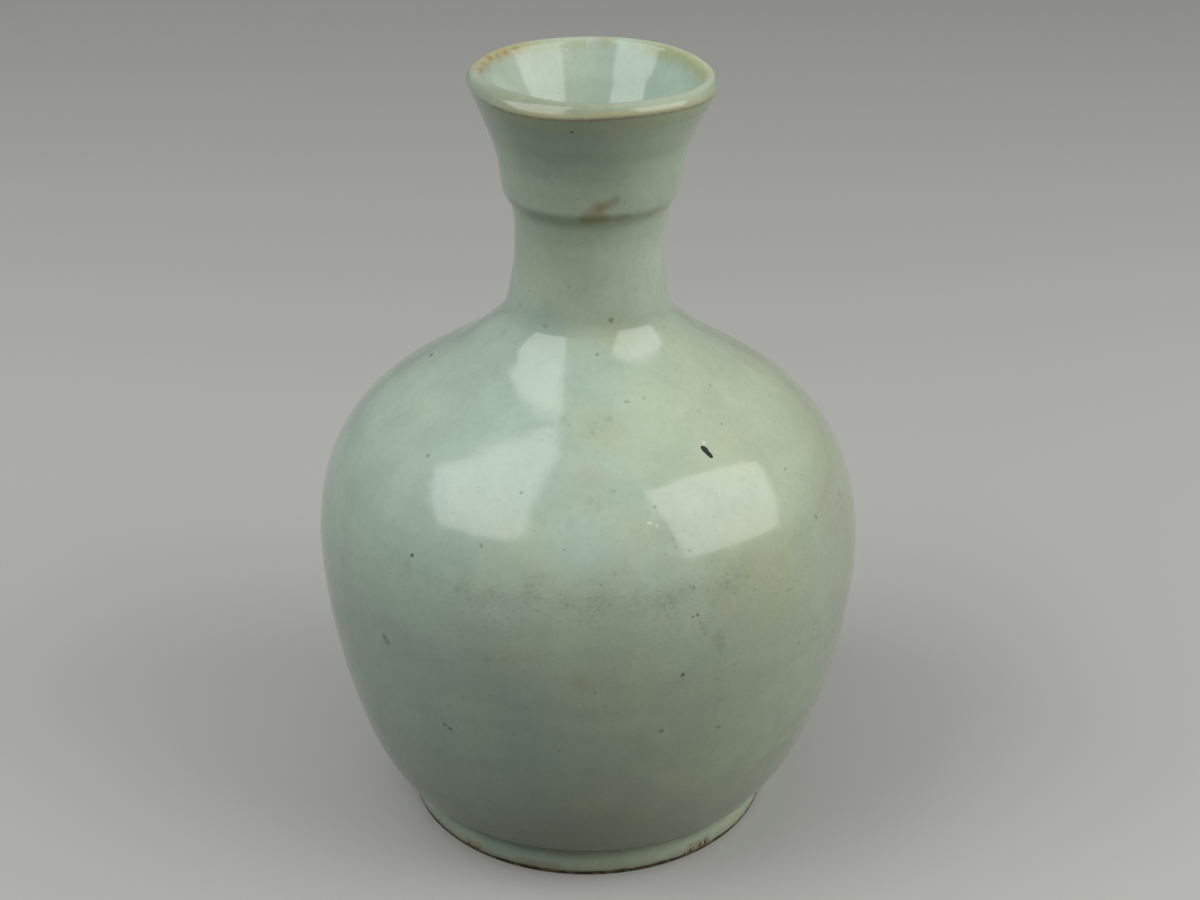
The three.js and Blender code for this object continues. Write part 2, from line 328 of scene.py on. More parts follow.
def outsideLine():
    roof = [(r, footTop + foot["roofLift"] * (1 - (r / roofEdge) ** 2))
            for r in np.linspace(0, roofEdge, 120)]
    recessTop = (rimInner - foot["recessTaper"] * 0.7, footTop - foot["recessFillet"])
    fillet = roundCorner((roofEdge, footTop), (rimInner - foot["recessTaper"], footTop), recessTop)
    rimFoot = roundCorner((rimInner, foot["rimRound"]), (rimInner + 0.1, 0), (rimInner + foot["rimRound"], 0))
    side = joined([[(foot["radius"], z) for z in np.linspace(0, foot["sideHeight"], 60)],
                   sweep((foot["radius"], foot["sideHeight"]), 90, foot["fullness"],
                         (foot["topRadius"], footTop), foot["topAngle"], foot["fullness"])])
    # the bare rim is set back under the rolled edge of the glaze
    start = np.searchsorted(side[:, 1], foot["glazeEdge"])
    side = side[start:]
    side[:, 0] += foot["glazeBead"] * np.exp(-((side[:, 1] - foot["glazeEdge"] - 0.45) / 0.45) ** 2)
    under = (bareRadius, foot["glazeEdge"] * 0.62)
    bare = [(bareRadius - foot["bareTuck"], 0), (bareRadius - foot["bareTuck"] * 0.6, 0.05), under]
    rimOut = joined([bare, roundCorner(under, (side[0][0] - 0.1, foot["glazeEdge"] * 0.72), side[0])])
    underBelly, shoulder, hollow, rootCurve = bodyCurves()
    waistTop = [(neck["radius"], neckRoot + neck["waistRise"])]
    waistTop.append((neck["radius"] + 0.07, waistTop[0][1] + 4))
    step = [(r, ledge + rise) for rise, r in zip(neck["ledgeRise"], neck["ledgeRadius"])]
    flare = [(r, top - depth) for depth, r in zip(lip["flareDepth"], lip["flareRadius"])]
    upper = smoothCurve(waistTop + step + flare, 500)
    corner = (lip["radius"], top - lip["drop"])
    crown = (lip["radius"] - lip["round"], top)
    slope = roundCorner(corner, (corner[0] - lip["slope"], top), crown)
    innerRound = roundCorner(crown, (lipEdge[0] + 0.35, top), lipEdge)
    return joined([roof, fillet, rimFoot, rimOut, side, underBelly, shoulder, hollow,
                   rootCurve, upper, [corner], slope, innerRound])


def insideLine():
    underBelly, shoulder, hollow, rootCurve = bodyCurves()
    floorHeight = footTop + body["floor"]
    wall = joined([
        wallInside(underBelly, body["heelWall"], body["bellyWall"]),
        wallInside(shoulder, body["bellyWall"], body["shoulderWall"]),
        wallInside(hollow, body["shoulderWall"], body["shoulderWall"]),
        wallInside(rootCurve, body["shoulderWall"], neck["wall"]),
    ])
    wall = wall[np.concatenate([[True], np.diff(wall[:, 1]) > 0])]
    wall = wall[wall[:, 1] > floorHeight + 5]
    floorEdge = (wall[0][0] - 12, floorHeight + 0.4)
    bend = roundCorner(floorEdge, (wall[0][0] - 2.5, floorHeight + 0.6), wall[0])
    floorLine = [(r, floorHeight + 0.4 * (r / floorEdge[0]) ** 2) for r in np.linspace(0, floorEdge[0], 80)]
    boreTop = (neck["radius"] + 0.5 - neck["wall"], ledge)
    bore = sweep(wall[-1], 90, 0.3, boreTop, 90, 0.3)
    funnel = sweep(boreTop, 90, lip["funnelFullness"], lipEdge, lip["mouthAngle"], lip["funnelFullness"])
    return joined([floorLine, bend, wall, bore, funnel])


# rows of the outline: place, outward direction and how freely each row may stray
spacing = 0.05
rough = evenly(joined([outsideLine(), insideLine()[::-1]]), spacing)
peak = int(np.argmax(rough[:, 1]))


def smoothStep(low, high, value):
    t = np.clip((value - low) / (high - low), 0, 1)
    return t * t * (3 - 2 * t)


# thick glaze softens the root of the neck most, and the sharp edge over the foot least
whole = softened(rough, glazeCoat["spread"], spacing)
isOut = np.arange(len(rough)) < peak
nearRoot = isOut * smoothStep(neckRoot - 7, neckRoot - 2, rough[:, 1])
nearRoot *= smoothStep(neckRoot + 9, neckRoot + 4, rough[:, 1])
nearFoot = isOut * smoothStep(3.2, 2.0, rough[:, 1])
nearMouth = smoothStep(top - 9, top - 7, rough[:, 1])
for weight, spread in ((nearRoot, glazeCoat["rootSpread"]), (nearFoot, glazeCoat["footSpread"]),
                       (nearMouth, glazeCoat["lipSpread"])):
    whole += weight[:, None] * (softened(rough, spread, spacing) - whole)
whole[0, 0] = whole[-1, 0] = 0.0
whole[:, 1] = np.maximum(whole[:, 1], 0.0)
peak = int(np.argmax(whole[:, 1]))
onSide = (np.arange(len(whole)) < peak) & ((whole[:, 1] > footTop) | (whole[:, 0] > foot["radius"] - 0.1))
whole[:, 0] += np.where(onSide, drifted("swell", whole[:, 1]), 0.0)


def crossing(height, side):
    rows = range(peak) if side == "outside" else range(peak, len(whole) - 1)
    for i in rows:
        if (whole[i, 1] - height) * (whole[i + 1, 1] - height) <= 0 and whole[i, 0] > 8:
            if side == "outside" and height < footTop + 0.1 and whole[i, 0] < foot["radius"]:
                continue
            return i


for low, high in joins.values():
    reach = (high - low) / 2 * bead["reach"]
    over = whole[:, 1] - (low + high) / 2
    near = (np.arange(len(whole)) > peak) & (np.abs(over) < reach)
    whole[near, 0] -= bead["height"] * np.cos(over[near] / reach * math.pi / 2) ** 2

tangent = np.gradient(whole, axis=0)
tangent /= np.maximum(np.linalg.norm(tangent, axis=1), 1e-9)[:, None]
outward = np.stack([tangent[:, 1], -tangent[:, 0]], axis=1)
bend = np.abs(np.gradient(np.unwrap(np.arctan2(tangent[:, 1], tangent[:, 0])))) / spacing


# rows lie closer together where the outline bends
def chosenRows(first, last, widest=1.1, angle=0.1):
    rows, run = [first], 0.0
    for i in range(first + 1, last):
        run += spacing / widest + bend[i] * spacing / angle
        if run >= 1.0:
            rows.append(i)
            run = 0.0
    rows.append(last)
    if len(rows) > 3:
        rows = [rows[0], rows[0] + 1, *[i for i in rows[1:-1] if rows[0] + 2 < i < last - 2], last - 1, last]
    return rows


# the rows where the sections, the bare rim and the lip's outer corner begin
outer = np.where(np.arange(len(whole)) < peak, whole[:, 0], 0)
cut = {
    "axis": 0, "axisIn": len(whole) - 1,
    "roof": int(np.argmax(whole[:, 0] >= roofEdge)),
    "footTop": crossing(footTop, "outside"),
    "rim": int(np.argmax(whole[:, 0] >= bareRadius - foot["bareTuck"])),
    "edge": int(np.argmax((whole[:, 0] >= foot["radius"] - 1) & (whole[:, 1] > foot["glazeEdge"] * 0.75))),
    "corner": int(np.argmax(np.where(whole[:, 1] > top - 5, outer, 0))),
}
for name, (low, high) in joins.items():
    for number, height in (("1", low), ("2", high)):
        cut[name + number] = crossing(height, "outside")
        cut[name + number + "In"] = crossing(height, "inside")
print("outline ready", len(whole), cut)


# the wheel turns rows of the outline into a closed, slightly uneven solid
turning = {"Segments": 256, "Ridge Pitch": 7.3 * mm, "Swell Size": 21.0, "Dimple Size": 75.0, "Seed": 4.0}
wheel = {
    # depth of the throwing ridges, soft swellings and dimples: everywhere, and what the inside or the widest
    # part has on top of it
    "ridge": 0.022, "innerRidge": 0.12, "swell": 0.12, "wideSwell": 0.3, "dimple": 0.05, "wideDimple": 0.07,
    "roofRidge": 0.12, "roofSwell": 0.1, "roofDimple": 0.1,
    # how far the end of the glaze strays over the foot, and the lip with it
    "ragged": 1.5, "lipRagged": 0.1,
}


def rowNumbers():
    radius, height = whole[:, 0], whole[:, 1]
    index = np.arange(len(whole))
    inner = smoothStep(peak + 20, peak + 90, index)
    nearLip = smoothStep(top - 14, top - 2, height)
    ground = smoothStep(0.6, 3.0, height)
    values = {}
    values["drift"] = drifted("shift", height)
    values["wave"] = nearLip
    # length along the outline from the outer corner of the lip
    arc = (index - cut["corner"]) * spacing
    values["lipArc"] = np.clip(arc, -12, 24)
    values["stray"] = smoothStep(1.2, 4.3, arc) * smoothStep(22, 5, arc)
    glazeFoot = (index > cut["rim"]) * (index < cut["footTop"]) * smoothStep(0.2, 0.8, height)
    ragged = wheel["ragged"] * glazeFoot * smoothStep(3.0, 0.9, height)
    values["ragged"] = wheel["lipRagged"] * nearLip + ragged
    values["oval"] = foot["oval"] * smoothStep(foot["ovalTo"], foot["ovalFrom"], height) * (index < peak)
    ridge = (wheel["ridge"] + wheel["innerRidge"] * inner) * ground * (1 - 0.9 * nearLip)
    swell = wheel["wideSwell"] * ground * smoothStep(0, 40, radius) + wheel["swell"] * ground
    dimple = (wheel["dimple"] + wheel["wideDimple"] * smoothStep(20, 60, radius)) * ground
    roof = index < cut["roof"]
    values["ridge"] = np.where(roof, wheel["roofRidge"], ridge)
    values["swell"] = np.where(roof, wheel["roofSwell"], swell)
    values["dimple"] = np.where(roof, wheel["roofDimple"], dimple)
    values["inside"] = smoothStep(peak - 10, peak + 60, index)
    # the ring that the bottle stands on is unglazed up to the edge of the glaze
    values["bare"] = 1.0 * ((index > cut["roof"] + 60) & (index < cut["edge"]))
    return values


numbers = rowNumbers()


def wheelTree():
    tree, given = growingTree("thrownOnTheWheel", "Profile", {
        "Rows": "Int", "Segments": "Int", "Ridge Pitch": "Float", "Swell Size": "Float",
        "Dimple Size": "Float", "Seed": "Float"})
    columns = given["Segments"] + 1.0
    inputs = {"Size X": 1.0, "Size Y": 1.0, "Vertices X": given["Rows"], "Vertices Y": columns}
    grid = flow(tree, "GeometryNodeMeshGrid", inputs, "Mesh")
    index = flow(tree, "GeometryNodeInputIndex")
    row = calc("FLOOR", (index + 0.25) / columns)
    column = calc("MODULO", index - row * columns + 0.25, given["Segments"])
    angle = (column - 0.25) / given["Segments"] * (2 * math.pi)

    def rowValue(name, kind="FLOAT"):
        inputs = {0: given["Profile"], 1: stored(tree, name, kind), "Index": row}
        return flow(tree, "GeometryNodeSampleIndex", inputs, data_type=kind, domain="POINT")

    place = separate(rowValue("place", "FLOAT_VECTOR"))
    out = separate(rowValue("outward", "FLOAT_VECTOR"))
    cosine, sine = calc("COSINE", angle), calc("SINE", angle)
    around = combine(tree, cosine * place[0], sine * place[0], place[2])
    around = vector("ADD", around, combine(tree, given["Seed"], given["Seed"], given["Seed"]))
    swell = noise(around, given["Swell Size"], 1.5, 0.45) - 0.5
    wander = noise(around, 34.0, 1.0)
    turns = place[2] / given["Ridge Pitch"] + angle / (2 * math.pi) + wander * 1.4
    ridge = calc("SINE", turns * (2 * math.pi)) * (wander + 0.2)
    dimple = noise(around, given["Dimple Size"], 1.0, 0.5) - 0.5
    lift = swell * rowValue("swell") + ridge * rowValue("ridge") + dimple * rowValue("dimple")

    def roundTheMouth(terms):
        total = 0.0
        for times, phase, size in terms:
            total = total + calc("SINE", angle * float(times) + phase) * (size * mm)
        return total

    stray = roundTheMouth(lip["strays"]) * ramp(sine, 0.4, -0.1) * rowValue("stray")
    across = calc("COSINE", angle * 2.0) * rowValue("oval")
    radius = (place[0] + stray + lift * out[0] - across) * calc("GREATER_THAN", place[0], 1e-7)
    z = place[2] + lift * out[2] + roundTheMouth(lip["waves"]) * rowValue("wave")
    z = z + roundTheMouth(lip["lifts"]) * rowValue("stray")
    # where the glaze stops over the foot it runs down in uneven tongues
    tongues = noise(combine(tree, cosine, sine, given["Seed"]), 9.0, 4.0, 0.65) - 0.5
    z = z + tongues * rowValue("ragged")
    final = combine(tree, cosine * radius + rowValue("drift"), sine * radius, z)
    made = flow(tree, "GeometryNodeSetPosition", {"Geometry": grid, "Position": final})
    for name in ("inside", "bare", "lipArc"):
        inputs = {"Geometry": made, "Name": name, "Value": rowValue(name)}
        made = flow(tree, "GeometryNodeStoreNamedAttribute", inputs, data_type="FLOAT", domain="POINT")
    made = flow(tree, "GeometryNodeMergeByDistance", {"Geometry": made, "Distance": 2e-6})
    made = flow(tree, "GeometryNodeSetShadeSmooth", {"Geometry": made, "Shade Smooth": True})
    made = flow(tree, "GeometryNodeRealizeInstances", {"Geometry": made})
    made = flow(tree, "GeometryNodeSetMaterial", {"Geometry": made, "Material": given["Finish"]})
    addNode(tree, "NodeGroupOutput", {"Piece": made})
    return tree


def placed(name, data):
    obj = bpy.data.objects.new(name, data)
    bpy.context.scene.collection.objects.link(obj)
    return obj


# runs a node tree on a mesh and keeps the result as a plain piece
def grown(name, startMesh, tree, values):
    carrier = placed(name + "Carrier", startMesh)
    modifier = carrier.modifiers.new("nodes", "NODES")
    modifier.node_group = tree
    for item in tree.interface.items_tree:
        if item.name in values:
            modifier[item.identifier] = values[item.name]
    bpy.context.view_layer.update()
    result = bpy.data.meshes.new_from_object(carrier.evaluated_get(bpy.context.evaluated_depsgraph_get()))
    result.name = name
    carrier.modifiers.remove(modifier)
    bpy.data.objects.remove(carrier)
    return placed(name, result)


def tidyNormals(obj, sharpest):
    mesh = bmesh.new()
    mesh.from_mesh(obj.data)
    bmesh.ops.recalc_face_normals(mesh, faces=mesh.faces)
    mesh.to_mesh(obj.data)
    mesh.free()
    obj.data.set_sharp_from_angle(angle=math.radians(sharpest))


def thrown(name, rows, finish, tree):
    mesh = bpy.data.meshes.new(name + "Rows")
    mesh.vertices.add(len(rows))
    for key, line in (("place", whole[rows] * mm), ("outward", outward[rows])):
        columns = np.stack([line[:, 0], np.zeros(len(rows)), line[:, 1]], axis=1)
        data = mesh.attributes.new(key, "FLOAT_VECTOR", "POINT").data
        data.foreach_set("vector", columns.astype(np.float32).ravel())
    for key, values in numbers.items():
        scale = 1.0 if key in ("wave", "stray", "inside", "bare", "lipArc") else mm
        data = mesh.attributes.new(key, "FLOAT", "POINT").data
        data.foreach_set("value", (values[rows] * scale).astype(np.float32))
    piece = grown(name, mesh, tree, {"Rows": len(rows), "Finish": finish, **turning})
    tidyNormals(piece, 32)
    return piece


# finishes
glaze = {
    "green": (0.463, 0.563, 0.418), "blue": (0.423, 0.55, 0.444), "yellow": (0.497, 0.58, 0.403),
    "inside": (0.45, 0.535, 0.425), "insideBlue": (0.4, 0.54, 0.46), "dirt": (0.25, 0.265, 0.17),
    "thin": (0.26, 0.25, 0.15), "pooled": (0.31, 0.33, 0.19), "bare": (0.16, 0.12, 0.07),
    # the near-black of the bare rim is partly painted shadow under the glaze's edge
    "burntAndShadowed": (0.03, 0.022, 0.013), "roughness": 0.1, "peel": 0.03,
    # heights of the dirt, of its freckles and of the pooled glaze: from, to and softness
    "dirtBand": (87.0, 95.0, 5.0), "freckledBand": (58.0, 92.0, 14.0), "poolBand": (167.9, 169.0, 1.0),
    "dirtAzimuth": 6.0,
}
# specks in the glaze, each with its azimuth from the front towards +X, its height, radius and strength
specks = {
    "iron": {"color": (0.06, 0.065, 0.04), "soft": 0.5, "at": [
        (-95.7, 123.6, 0.7, 0.85), (-38.3, 96.4, 0.55, 0.85), (-31.4, 51.9, 0.5, 0.7),
        (-30.0, 51.1, 0.5, 0.8),
        (22.0, 93.5, 0.35, 0.5), (21.2, 86.6, 0.4, 0.6), (22.2, 86.9, 0.4, 0.6), (-15.8, 113.4, 0.4, 0.5),
        (-22.3, 102.6, 0.35, 0.5), (56.4, 109.4, 0.4, 0.5), (58.4, 97.4, 0.45, 0.55), (5.9, 136.1, 0.35, 0.5),
        (16.6, 127.6, 0.35, 0.45), (17.6, 127.4, 0.3, 0.4), (-9.3, 193.7, 0.45, 0.6), (-61, 199.1, 0.35, 0.6),
        (47.8, 120.5, 0.35, 0.4), (-46.2, 115.0, 0.5, 0.45), (-4.3, 103.8, 0.35, 0.35),
        (28.0, 52.6, 0.5, 0.4),
        (152, 108, 0.6, 0.8), (-140, 84, 0.5, 0.7), (118, 61, 0.5, 0.7), (-171, 122, 0.4, 0.6),
        (172, 47, 0.55, 0.7),
        (97, 102, 0.4, 0.5), (-112, 58, 0.5, 0.6)]},
    "olive": {"color": (0.2, 0.215, 0.09), "soft": 0.7, "at": [
        (17.1, 143.1, 0.6, 0.8), (-45.4, 71.8, 0.8, 0.8), (-44.6, 70.8, 0.9, 0.7), (26.4, 79.8, 1.5, 0.25),
        (27.0, 77.6, 1.2, 0.2), (44.6, 85.1, 0.6, 0.3), (35.6, 89.0, 0.4, 0.4), (48.1, 68.5, 0.35, 0.4),
        (16.9, 110.8, 0.45, 0.45), (-29.8, 141.1, 0.6, 0.5), (19.3, 104.3, 0.6, 0.25),
        (19.6, 102.7, 0.5, 0.2),
        (1.4, 112.5, 1.1, 0.15), (3.2, 111.6, 0.9, 0.12), (2.2, 123.1, 0.6, 0.25), (-8.1, 125.0, 0.9, 0.2),
        (8.5, 125.1, 0.9, 0.25), (57.5, 125.9, 0.5, 0.5), (43.5, 123.5, 0.4, 0.4),
        (24.3, 127.6, 0.35, 0.45), (50.9, 132.7, 0.4, 0.35), (60.4, 106.6, 0.4, 0.35),
        (72.4, 97.1, 0.45, 0.4), (72.4, 96.1, 0.5, 0.45), (72.4, 95.1, 0.5, 0.4), (68.0, 98.8, 0.4, 0.35),
        (-6.1, 50.4, 0.4, 0.4), (26.5, 68.0, 0.5, 0.25), (30.4, 71.0, 0.5, 0.25), (27.3, 61.1, 0.7, 0.2),
        (22.7, 84.8, 0.5, 0.3), (23.1, 83.2, 0.5, 0.3), (23.6, 81.6, 0.5, 0.25), (-3.6, 91.9, 0.5, 0.4),
        (-18.4, 86.4, 0.5, 0.25), (-20.1, 84.3, 0.4, 0.25), (-20.0, 75.4, 0.9, 0.2), (-16.0, 76.6, 0.7, 0.2),
        (-12.4, 63.1, 0.5, 0.25), (3.3, 64.8, 0.5, 0.2), (-23.4, 178.7, 0.4, 0.3), (43.0, 168.8, 0.5, 0.5),
        (-14.5, 151.5, 0.4, 0.25), (37.0, 149.7, 0.4, 0.25), (-26.5, 91.9, 0.6, 0.25),
        (-25.9, 62.4, 0.5, 0.3),
        (-29.3, 59.0, 0.4, 0.3), (6.0, 98.7, 0.5, 0.3), (-11.7, 95.7, 0.4, 0.25), (-13.8, 121.7, 0.5, 0.25),
        (52.0, 20.5, 0.5, 0.35), (-16.5, 18.0, 0.5, 0.3), (-61.3, 136.4, 0.4, 0.35), (60.4, 138.0, 0.4, 0.3),
        (160, 90, 1.0, 0.35), (-150, 112, 0.8, 0.35), (130, 75, 0.7, 0.4), (-100, 88, 0.8, 0.35)]},
    "rust": {"color": (0.21, 0.1, 0.03), "soft": 0.5, "at": [
        (18.8, 71.7, 0.45, 0.9), (15.1, 55.4, 0.5, 0.85), (-128, 96, 0.5, 0.8), (141, 66, 0.45, 0.8)]},
    # glints are painted highlights: bright specks standing in for light caught on small bumps in the glaze
    "glint": {"color": (0.85, 0.9, 0.78), "soft": 0.4, "at": [
        (37.3, 119.0, 0.5, 0.4), (-94.5, 124.4, 0.35, 0.6), (14.4, 108.1, 0.4, 0.5), (14.9, 108.0, 0.4, 0.5),
        (16.3, 107.5, 0.4, 0.45)]},
}
# wide soft stain patches, and painted shade on the right-hand edge of the belly, each with azimuth, height,
# radius and strength
stainsAndShade = {
    "olive": {"color": (0.44, 0.46, 0.27), "at": [
        (2, 114, 10, 0.3), (4, 124, 10, 0.45), (9, 107, 9, 0.2), (50, 117, 16, 0.3), (40, 88, 24, 0.45),
        (-1, 72, 4, 0.5), (33, 60, 20, 0.3), (-16, 78, 12, 0.25),
        # the olive patches at azimuths 74 and 80 are partly a yellower tone and partly painted shade on the
        # belly's right-hand edge
        (20, 140, 9, 0.35), (74, 84, 26, 0.4), (80, 104, 20, 0.35), (0, 20, 26, 0.5),
        (-170, 95, 22, 0.4), (120, 118, 16, 0.35), (-95, 70, 18, 0.3)]},
    "rosy": {"color": (0.47, 0.43, 0.32), "at": [
        (28, 87.5, 4, 0.4), (32, 85, 4, 0.3), (68, 96, 15, 0.45), (1.5, 117, 4, 0.3), (150, 80, 9, 0.25)]},
    "pale": {"color": (0.6, 0.7, 0.57), "at": [(50, 155, 14, 0.6), (30, 160, 10, 0.4), (150, 152, 12, 0.3)]},
    # the grey patches are painted shade: they darken the belly's right-hand edge
    "grey": {"color": (0.36, 0.43, 0.33), "at": [(71, 88, 34, 0.45), (80, 106, 26, 0.35)]},
    "blue": {"color": (0.44, 0.575, 0.49), "at": [
        (1, 104, 16, 0.6), (-14, 92, 14, 0.4), (-45, 112, 20, 0.4), (14, 97, 12, 0.35)]},
}
# soft brown smears from one place to another, with their radius and strength
smears = {"color": (0.33, 0.26, 0.12), "at": [
    ((15, 174.6), (6, 173.0), 1.3, 0.55), ((5, 173.0), (-1, 170.6), 1.6, 0.6), ((-4, 169.4),
    (7, 170.0), 1.5, 0.75), ((-20, 2.6), (-9, 2.2), 1.2, 0.6),
    ((-40, 2.6), (-35, 2.2), 0.9, 0.55), ((33, 2.2), (40, 2.8), 1.2, 0.5),
    ((7, 170.2), (24, 170.0), 1.1, 0.4)]}
# colours round the mouth: stain on the inner edge, the line on the outer corner, the pale edge over it that
# is partly the thin glaze's paler tone and partly painted light, painted shade on the lip's face, and an
# olive tint under the corner that is partly painted shade
rim = {
    "yellow": (0.4, 0.33, 0.12), "olive": (0.4, 0.43, 0.2), "line": (0.29, 0.2, 0.06),
    "pale": (0.5, 0.48, 0.25), "lipShade": (0.29, 0.335, 0.225), "brown": (0.33, 0.2, 0.07),
    "glint": (0.95, 0.97, 0.93),
    # azimuths round the mouth: from, to and softness
    "backLeft": (-148.0, -78.0, 14.0), "back": (165.0, 174.0, 4.0), "backRight": (82.0, 148.0, 14.0),
    "shadeLeft": (-70.0, 20.0, 22.0), "shadeAround": (-98.0, 92.0, 14.0), "paleLitEdge": (-38.0, 86.0, 16.0),
    "front": (-30.0, 52.0, 12.0), "sides": (-55.0, 84.0, 14.0),
    # reach along the outline from the outer corner of the lip: from, to and softness
    "yellowReach": (2.9, 7.2, 1.4), "oliveReach": (4.0, 8.2, 1.8), "lipShadeReach": (0.5, 5.2, 0.9),
    "paleLitReach": (0.1, 1.3, 0.7), "underShadeReach": (-4.5, -0.4, 0.9), "lineReach": (-0.8, -0.1, 0.35),
    # brown spots on the lip, each with its place, radius and strength, and the place of a painted highlight
    # inside the mouth
    "spots": [
        ((-23.3, 8.7, 200.4), 0.9, 0.65), ((-24.6, 0.1, 200.7), 1.0, 0.6), ((-19.6, 14.5, 200.2), 0.9, 0.5),
        ((-21.2, 11.6, 200.3), 0.8, 0.5), ((-17.0, 17.4, 200.1), 1.1, 0.5), ((-13.2, 19.5, 200.0), 0.8, 0.35),
        ((0.4, 24.6, 199.8), 0.7, 0.3), ((-24.2, 4.0, 200.6), 0.8, 0.5), ((-24.4, -4.5, 200.6), 0.7, 0.45)],
    "bead": (-5.0, 24.5, 197.6),
}


def surfacePoint(azimuth, height):
    rows = np.arange(cut["rim"], peak)
    radius = np.interp(height, whole[rows, 1], whole[rows, 0])
    turn = math.radians(azimuth)
    shift = drifted("shift", height)
    return (radius * math.sin(turn) + shift, -radius * math.cos(turn), height)


def addFinish(name):
    material = bpy.data.materials.new(name)
    material.use_nodes = True
    material.node_tree.nodes.clear()
    return material, material.node_tree


def attribute(tree, name):
    return flow(tree, "ShaderNodeAttribute", output="Fac", attribute_name=name)


def placeInMm(tree):
    return vector("SCALE", flow(tree, "ShaderNodeTexCoord", output="Object"), Scale=1 / mm)


def addCover(where, place, radius, soft, strength):
    far = vector("DISTANCE", where, place, output="Value")
    return ramp(far, radius * (1 - soft), radius * (1 + soft), strength, 0.0)


# the strongest of a kind's covers at each place
def addCovers(where, kind, share, soft):
    cover = None
    for azimuth, height, radius, strength in kind["at"]:
        spot = addCover(where, surfacePoint(azimuth, height), radius * share, soft, strength)
        cover = spot if cover is None else calc("MAXIMUM", cover, spot)
    return cover


def addSmears(where, color):
    for start, end, radius, strength in smears["at"]:
        first, last = Vector(surfacePoint(*start)), Vector(surfacePoint(*end))
        line = last - first
        along = vector("SUBTRACT", where, first)
        share = vector("DOT_PRODUCT", along, line / line.length_squared, output="Value")
        nearest = vector("SCALE", line, Scale=calc("ADD", share, 0.0, clamp=True))
        far = vector("DISTANCE", along, nearest, output="Value")
        color = mixColor(ramp(far, radius * 0.1, radius * 1.7, strength, 0.0), color, smears["color"])
    return color


def addSurface(tree, bump, look):
    normal = flow(tree, "ShaderNodeBump", bump)
    shader = flow(tree, "ShaderNodeBsdfPrincipled", {"Normal": normal, **look})
    addNode(tree, "ShaderNodeOutputMaterial", {"Surface": shader})


